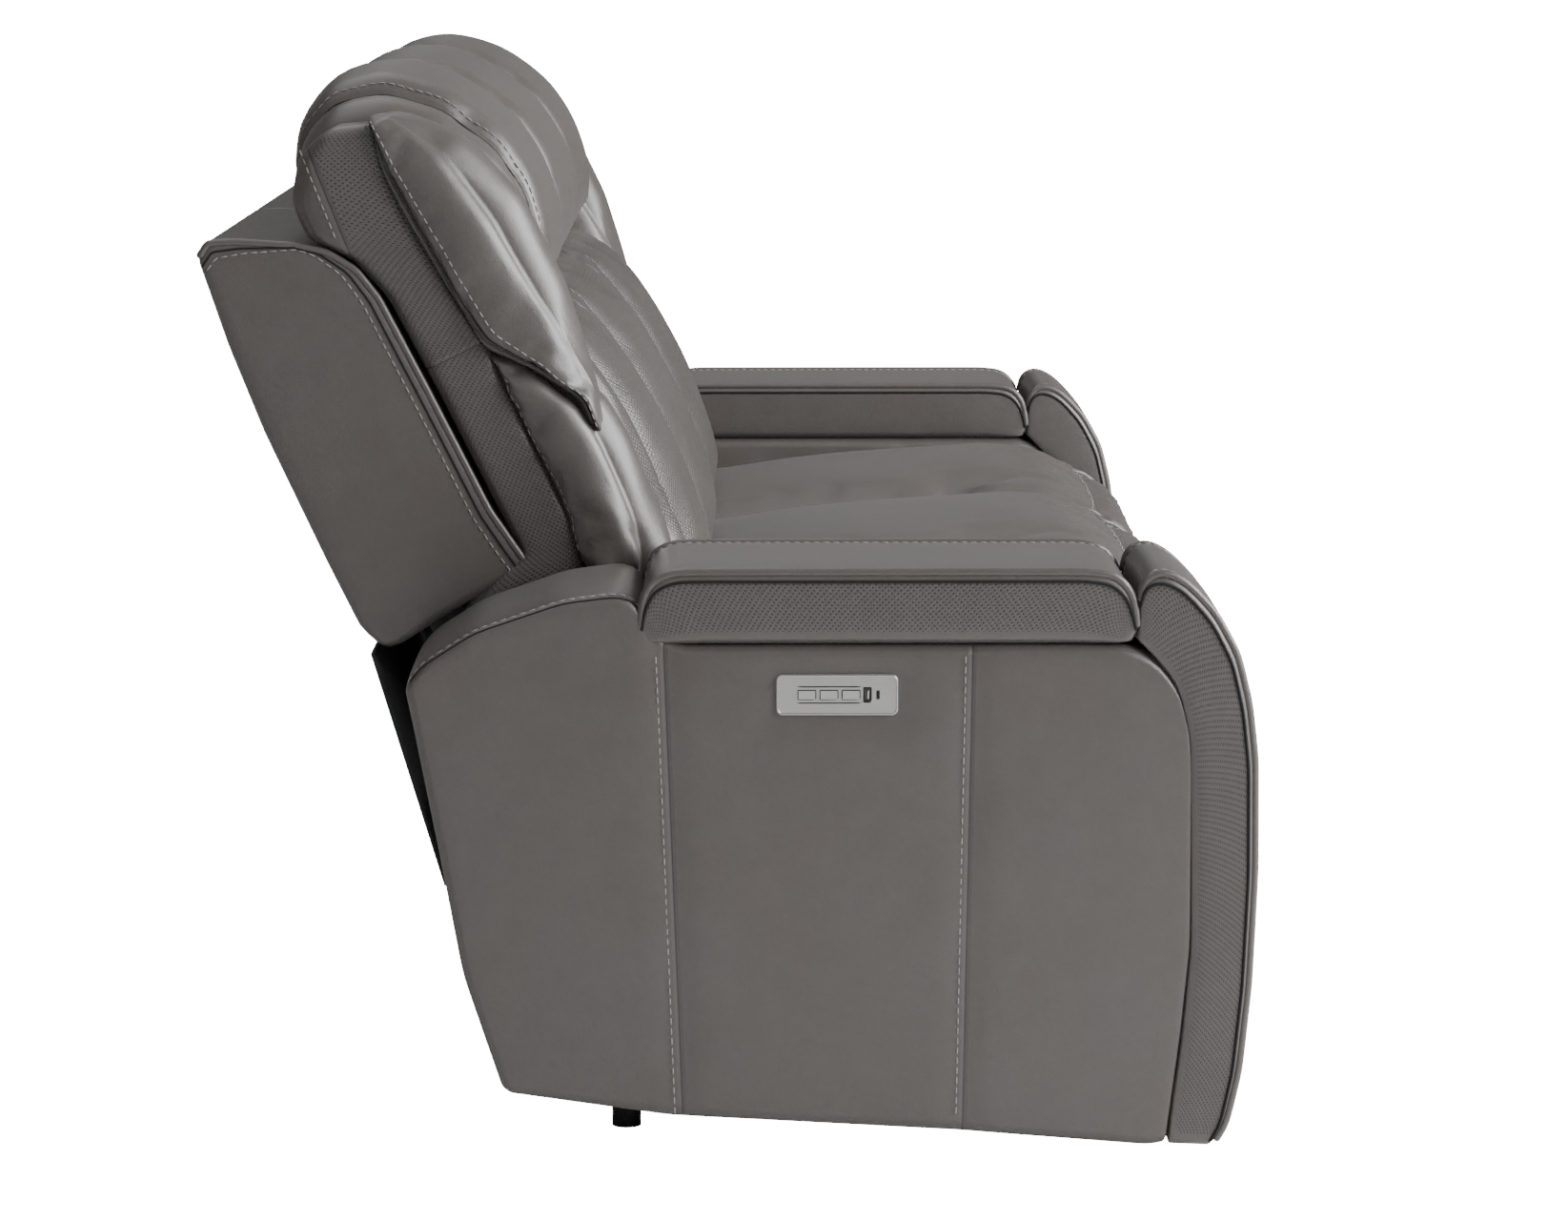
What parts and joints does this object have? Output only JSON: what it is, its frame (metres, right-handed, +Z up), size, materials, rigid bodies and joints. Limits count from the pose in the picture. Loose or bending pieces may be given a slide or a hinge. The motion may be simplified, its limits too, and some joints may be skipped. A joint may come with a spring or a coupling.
{
  "type": "three-seat power reclining sofa",
  "caption": "Family seating: a grey leather power reclining sofa seen from its side, with padded arms, control plate, footrests and tilting headrests.",
  "frame": {"origin": "centre of the floor footprint at floor level", "axes": "+Z up, -Y is the front where the sitters face, -X is the sitters' right"},
  "size_m": [2.208, 1.0805, 1.0822],
  "materials": {
    "grey_leather": "satin",
    "black_cloth": "matt",
    "plywood": "matt",
    "black_steel": "satin",
    "zinc_steel": "satin",
    "motor_plastic": "matt",
    "glide_plastic": "matt",
    "silver_plate": "brushed",
    "port_black": "matt",
    "button_plastic": "satin"
  },
  "bodies": {
    "base": {"arm_body_left": "grey_leather", "arm_body_right": "grey_leather", "arm_frames": "plywood", "arm_front_left": "grey_leather", "arm_front_right": "grey_leather", "arm_pad_left": "grey_leather", "arm_pad_right": "grey_leather", "back_cushion_middle": "grey_leather", "back_frame_middle": "black_steel", "back_shell_middle": "grey_leather", "base_rails": "plywood", "bottom_cloth": "black_cloth", "control_plate_left": "silver_plate", "control_plate_right": "silver_plate", "drive_units_left": "motor_plastic", "drive_units_right": "motor_plastic", "feet": "glide_plastic", "front_board_middle": "plywood", "front_panel_middle": "grey_leather", "headrest_pillow_middle": "grey_leather", "power_supply": "motor_plastic", "rear_cloth_middle": "black_cloth", "seat_cushion_left": "grey_leather", "seat_cushion_middle": "grey_leather", "seat_cushion_right": "grey_leather", "seat_frame_left": "black_steel", "seat_frame_middle": "black_steel", "seat_frame_right": "black_steel", "usb_ports_left": "port_black", "usb_ports_right": "port_black"},
    "back_right": {"back_shell_right": "grey_leather", "back_bolster_right": "grey_leather", "back_cushion_right": "grey_leather", "rear_cloth_right": "black_cloth", "back_frame_right": "black_steel"},
    "head_right": {"headrest_pillow_right": "grey_leather", "headrest_arms_right": "zinc_steel"},
    "lift_right": {"footrest_lift_links_right": "zinc_steel"},
    "reach_right": {"footrest_reach_links_right": "zinc_steel"},
    "footrest_right": {"footrest_brackets_right": "zinc_steel", "footrest_board_right": "plywood", "footrest_pad_right": "grey_leather"},
    "button_recline_right": {"button_recline_right": "button_plastic"},
    "button_lift_right": {"button_lift_right": "button_plastic"},
    "button_head_right": {"button_head_right": "button_plastic"},
    "back_left": {"back_shell_left": "grey_leather", "back_bolster_left": "grey_leather", "back_cushion_left": "grey_leather", "rear_cloth_left": "black_cloth", "back_frame_left": "black_steel"},
    "head_left": {"headrest_pillow_left": "grey_leather", "headrest_arms_left": "zinc_steel"},
    "lift_left": {"footrest_lift_links_left": "zinc_steel"},
    "reach_left": {"footrest_reach_links_left": "zinc_steel"},
    "footrest_left": {"footrest_brackets_left": "zinc_steel", "footrest_board_left": "plywood", "footrest_pad_left": "grey_leather"},
    "button_recline_left": {"button_recline_left": "button_plastic"},
    "button_lift_left": {"button_lift_left": "button_plastic"},
    "button_head_left": {"button_head_left": "button_plastic"}
  },
  "joints": [
    {"name": "recline_right", "type": "hinge", "parent": "base", "child": "back_right", "pos_m": [-0.57, 0.11, 0.37], "axis": [-1, 0, 0], "range_deg": [0, 30]},
    {"name": "headrest_right", "type": "hinge", "parent": "back_right", "child": "head_right", "pos_m": [-0.57, 0.226, 0.829], "axis": [1, 0, 0], "range_deg": [0, 35]},
    {"name": "footrest_right", "type": "hinge", "parent": "base", "child": "lift_right", "pos_m": [-0.57, -0.44, 0.33], "axis": [-1, 0, 0], "range_deg": [0, 80]},
    {"name": "footrest_reach_right", "type": "hinge", "parent": "lift_right", "child": "reach_right", "pos_m": [-0.57, -0.44, 0.18], "axis": [-1, 0, 0], "range_deg": [-160, 0]},
    {"name": "footrest_turn_right", "type": "hinge", "parent": "reach_right", "child": "footrest_right", "pos_m": [-0.57, -0.44, 0.33], "axis": [-1, 0, 0], "range_deg": [0, 160]},
    {"name": "press_recline_right", "type": "slide", "parent": "base", "child": "button_recline_right", "axis": [1, 0, 0], "range_m": [0, 0.0012], "stiffness_N_per_m": 1200, "springref_m": -0.0003},
    {"name": "press_lift_right", "type": "slide", "parent": "base", "child": "button_lift_right", "axis": [1, 0, 0], "range_m": [0, 0.0012], "stiffness_N_per_m": 1200, "springref_m": -0.0003},
    {"name": "press_head_right", "type": "slide", "parent": "base", "child": "button_head_right", "axis": [1, 0, 0], "range_m": [0, 0.0012], "stiffness_N_per_m": 1200, "springref_m": -0.0003},
    {"name": "recline_left", "type": "hinge", "parent": "base", "child": "back_left", "pos_m": [0.57, 0.11, 0.37], "axis": [-1, 0, 0], "range_deg": [0, 30]},
    {"name": "headrest_left", "type": "hinge", "parent": "back_left", "child": "head_left", "pos_m": [0.57, 0.226, 0.829], "axis": [1, 0, 0], "range_deg": [0, 35]},
    {"name": "footrest_left", "type": "hinge", "parent": "base", "child": "lift_left", "pos_m": [0.57, -0.44, 0.33], "axis": [-1, 0, 0], "range_deg": [0, 80]},
    {"name": "footrest_reach_left", "type": "hinge", "parent": "lift_left", "child": "reach_left", "pos_m": [0.57, -0.44, 0.18], "axis": [-1, 0, 0], "range_deg": [-160, 0]},
    {"name": "footrest_turn_left", "type": "hinge", "parent": "reach_left", "child": "footrest_left", "pos_m": [0.57, -0.44, 0.33], "axis": [-1, 0, 0], "range_deg": [0, 160]},
    {"name": "press_recline_left", "type": "slide", "parent": "base", "child": "button_recline_left", "axis": [-1, 0, 0], "range_m": [0, 0.0012], "stiffness_N_per_m": 1200, "springref_m": -0.0003},
    {"name": "press_lift_left", "type": "slide", "parent": "base", "child": "button_lift_left", "axis": [-1, 0, 0], "range_m": [0, 0.0012], "stiffness_N_per_m": 1200, "springref_m": -0.0003},
    {"name": "press_head_left", "type": "slide", "parent": "base", "child": "button_head_left", "axis": [-1, 0, 0], "range_m": [0, 0.0012], "stiffness_N_per_m": 1200, "springref_m": -0.0003}
  ],
  "couplings": [
    {"joint": "footrest_reach_right", "follows": "footrest_right", "ratio": -2},
    {"joint": "footrest_turn_right", "follows": "footrest_right", "ratio": 2},
    {"joint": "footrest_reach_left", "follows": "footrest_left", "ratio": -2},
    {"joint": "footrest_turn_left", "follows": "footrest_left", "ratio": 2}
  ]
}
